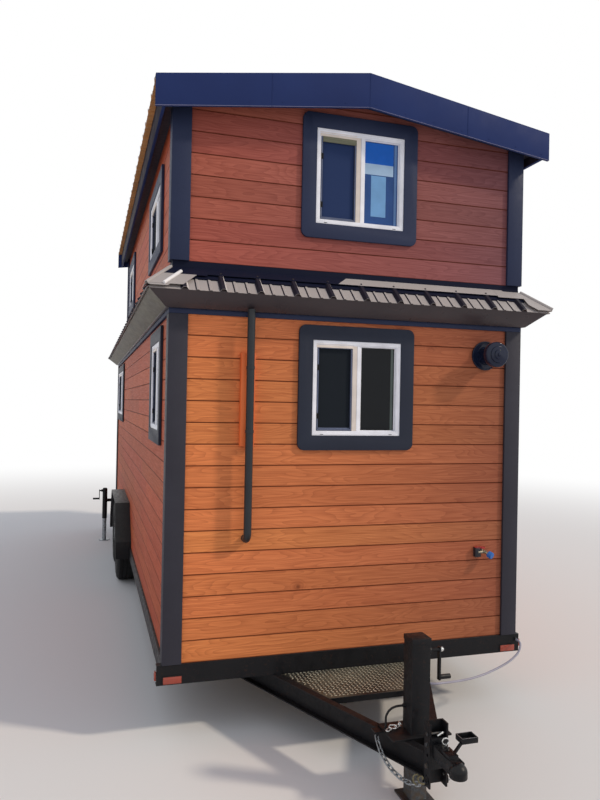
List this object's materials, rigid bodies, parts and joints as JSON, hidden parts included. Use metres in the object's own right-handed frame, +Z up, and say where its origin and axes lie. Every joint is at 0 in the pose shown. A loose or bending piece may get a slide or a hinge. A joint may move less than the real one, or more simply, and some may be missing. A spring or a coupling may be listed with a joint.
{
  "type": "tiny house on wheels",
  "caption": "Cedar-sided tiny house with a sleeping loft on a tandem-axle trailer, with a metal skirt roof, sliding windows, tongue jack and ball coupler.",
  "frame": {"origin": "on the ground, in the middle of the whole length and width, coupler to rear skirt roof", "axes": "+X towards the house's right as seen from the hitch, +Y towards the rear, +Z up"},
  "size_m": [3.154, 8.9038, 4.1585],
  "materials": {
    "black_steel": "black chassis paint, satin, lightly rusted",
    "tread_plate": "worn steel tread plate",
    "cast_coupler": "black enamelled casting",
    "zinc_steel": "dull zinc plating",
    "tyre": "trailer tyre rubber",
    "wheel_rim": "silver painted pressed steel",
    "plywood": "sheathing plywood",
    "cedar_siding": "stained tongue-and-groove cedar boards",
    "painted_trim": "boards painted charcoal",
    "vinyl": "white window vinyl",
    "window_glass": "clear window glass",
    "dark_soffit": "dark bronze soffit metal",
    "roofing": "charcoal ribbed roofing",
    "dark_flashing": "charcoal flashing",
    "abs_pipe": "black pipe plastic",
    "stained_batten": "stained softwood batten",
    "vent_plastic": "dark vent plastic",
    "tap_metal": "plated hose tap",
    "grey_cable": "grey cable jacket",
    "black_cable": "black cable jacket",
    "lamp_lens": "red and amber lens plastic"
  },
  "bodies": {
    "root": {"deck_rim": "black_steel", "main_rails": "black_steel", "crossmembers": "black_steel", "tongue_arms": "black_steel", "tongue_deck": "tread_plate", "coupler_channel": "black_steel", "coupler": "cast_coupler", "jack_body": "black_steel", "safety_chains": "zinc_steel", "harness_cable": "grey_cable", "plug_lead": "black_cable", "fenders": "black_steel", "axles": "black_steel", "rear_jack_bodies": "black_steel", "floor": "plywood", "loft_floor": "plywood", "front_wall": "cedar_siding", "left_wall": "cedar_siding", "right_wall": "cedar_siding", "rear_wall": "cedar_siding", "upper_front_wall": "cedar_siding", "upper_left_wall": "cedar_siding", "upper_right_wall": "cedar_siding", "upper_rear_wall": "cedar_siding", "corner_trims": "painted_trim", "frieze": "painted_trim", "window_casings": "painted_trim", "window_frames": "vinyl", "window_glass": "window_glass", "door": "painted_trim", "pent_eave": "dark_soffit", "pent_roof": "roofing", "apron_flashing": "roofing", "hip_caps": "roofing", "roof_deck": "plywood", "roof_panels": "roofing", "ridge_cap": "roofing", "fascia": "dark_flashing", "roof_soffit": "dark_soffit", "rear_roof": "roofing", "drain_pipe": "abs_pipe", "pipe_batten": "stained_batten", "vent_cap": "vent_plastic", "hose_tap": "tap_metal", "lamps": "lamp_lens"},
    "wheel_left_front": {"tyre_left_front": "tyre", "rim_left_front": "wheel_rim"},
    "wheel_left_rear": {"tyre_left_rear": "tyre", "rim_left_rear": "wheel_rim"},
    "wheel_right_front": {"tyre_right_front": "tyre", "rim_right_front": "wheel_rim"},
    "wheel_right_rear": {"tyre_right_rear": "tyre", "rim_right_rear": "wheel_rim"},
    "jack_leg": {"jack_leg": "zinc_steel"},
    "jack_crank": {"jack_crank": "black_steel"},
    "rear_jack_leg_left": {"rear_jack_leg_left": "zinc_steel"},
    "rear_jack_leg_right": {"rear_jack_leg_right": "zinc_steel"},
    "rear_jack_crank_left": {"rear_jack_crank_left": "black_steel"},
    "rear_jack_crank_right": {"rear_jack_crank_right": "black_steel"}
  },
  "joints": [
    {"name": "wheel_left_front_spin", "type": "hinge", "parent": "root", "child": "wheel_left_front", "pos_m": [-1.22, 0.95509, 0.391], "axis": [1, 0, 0], "continuous": true},
    {"name": "wheel_left_rear_spin", "type": "hinge", "parent": "root", "child": "wheel_left_rear", "pos_m": [-1.22, 1.80509, 0.391], "axis": [1, 0, 0], "continuous": true},
    {"name": "wheel_right_front_spin", "type": "hinge", "parent": "root", "child": "wheel_right_front", "pos_m": [1.22, 0.95509, 0.391], "axis": [1, 0, 0], "continuous": true},
    {"name": "wheel_right_rear_spin", "type": "hinge", "parent": "root", "child": "wheel_right_rear", "pos_m": [1.22, 1.80509, 0.391], "axis": [1, 0, 0], "continuous": true},
    {"name": "jack_leg_slide", "type": "slide", "parent": "root", "child": "jack_leg", "axis": [0, 0, 1], "range_m": [0, 0.195]},
    {"name": "jack_crank_turn", "type": "hinge", "parent": "root", "child": "jack_crank", "pos_m": [0, -3.97491, 0.76], "axis": [1, 0, 0], "continuous": true},
    {"name": "rear_jack_leg_left_slide", "type": "slide", "parent": "root", "child": "rear_jack_leg_left", "axis": [0, 0, 1], "range_m": [0, 0.22]},
    {"name": "rear_jack_crank_left_turn", "type": "hinge", "parent": "root", "child": "rear_jack_crank_left", "pos_m": [-1.41, 3.24509, 0.72], "axis": [1, 0, 0], "continuous": true},
    {"name": "rear_jack_leg_right_slide", "type": "slide", "parent": "root", "child": "rear_jack_leg_right", "axis": [0, 0, 1], "range_m": [0, 0.22]},
    {"name": "rear_jack_crank_right_turn", "type": "hinge", "parent": "root", "child": "rear_jack_crank_right", "pos_m": [1.41, 3.24509, 0.72], "axis": [1, 0, 0], "continuous": true}
  ]
}
